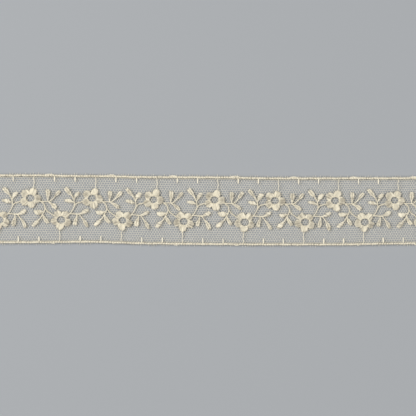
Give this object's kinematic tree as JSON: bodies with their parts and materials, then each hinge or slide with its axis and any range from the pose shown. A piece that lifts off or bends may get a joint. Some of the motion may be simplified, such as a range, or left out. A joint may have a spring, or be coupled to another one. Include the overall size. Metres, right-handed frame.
{
  "type": "embroidered lace trim",
  "caption": "Flat cut length of cream net lace trim with satin-stitched flowers and leafy vines and a whipped cord along each long edge, for sewing onto cloth.",
  "frame": {"origin": "middle of the length and width, on the surface that the trim lies on", "axes": "+X along the trim, +Y across it towards the edge with the tie threads of the upper flowers, +Z out of the embroidered face"},
  "size_m": [0.2, 0.0294, 0.0019],
  "materials": {
    "net_cotton": "fine cotton net, matt",
    "satin_cotton": "cream cotton satin stitch, soft sheen",
    "cord_cotton": "whipped cream cotton cord, matt"
  },
  "bodies": {
    "root": {"net_ground": "net_cotton", "edge_cord_upper": "cord_cotton", "edge_cord_lower": "cord_cotton", "flower_upper_1": "satin_cotton", "flower_upper_2": "satin_cotton", "flower_upper_3": "satin_cotton", "flower_upper_4": "satin_cotton", "flower_upper_5": "satin_cotton", "flower_upper_6": "satin_cotton", "flower_upper_7": "satin_cotton", "flower_upper_8": "satin_cotton", "flower_upper_9": "satin_cotton", "flower_lower_1": "satin_cotton", "flower_lower_2": "satin_cotton", "flower_lower_3": "satin_cotton", "flower_lower_4": "satin_cotton", "flower_lower_5": "satin_cotton", "flower_lower_6": "satin_cotton", "flower_lower_7": "satin_cotton", "flower_lower_8": "satin_cotton", "vine_down_1": "satin_cotton", "vine_down_2": "satin_cotton", "vine_down_3": "satin_cotton", "vine_down_4": "satin_cotton", "vine_down_5": "satin_cotton", "vine_down_6": "satin_cotton", "vine_down_7": "satin_cotton", "vine_down_8": "satin_cotton", "vine_up_1": "satin_cotton", "vine_up_2": "satin_cotton", "vine_up_3": "satin_cotton", "vine_up_4": "satin_cotton", "vine_up_5": "satin_cotton", "vine_up_6": "satin_cotton", "vine_up_7": "satin_cotton", "vine_up_8": "satin_cotton"}
  },
  "joints": []
}
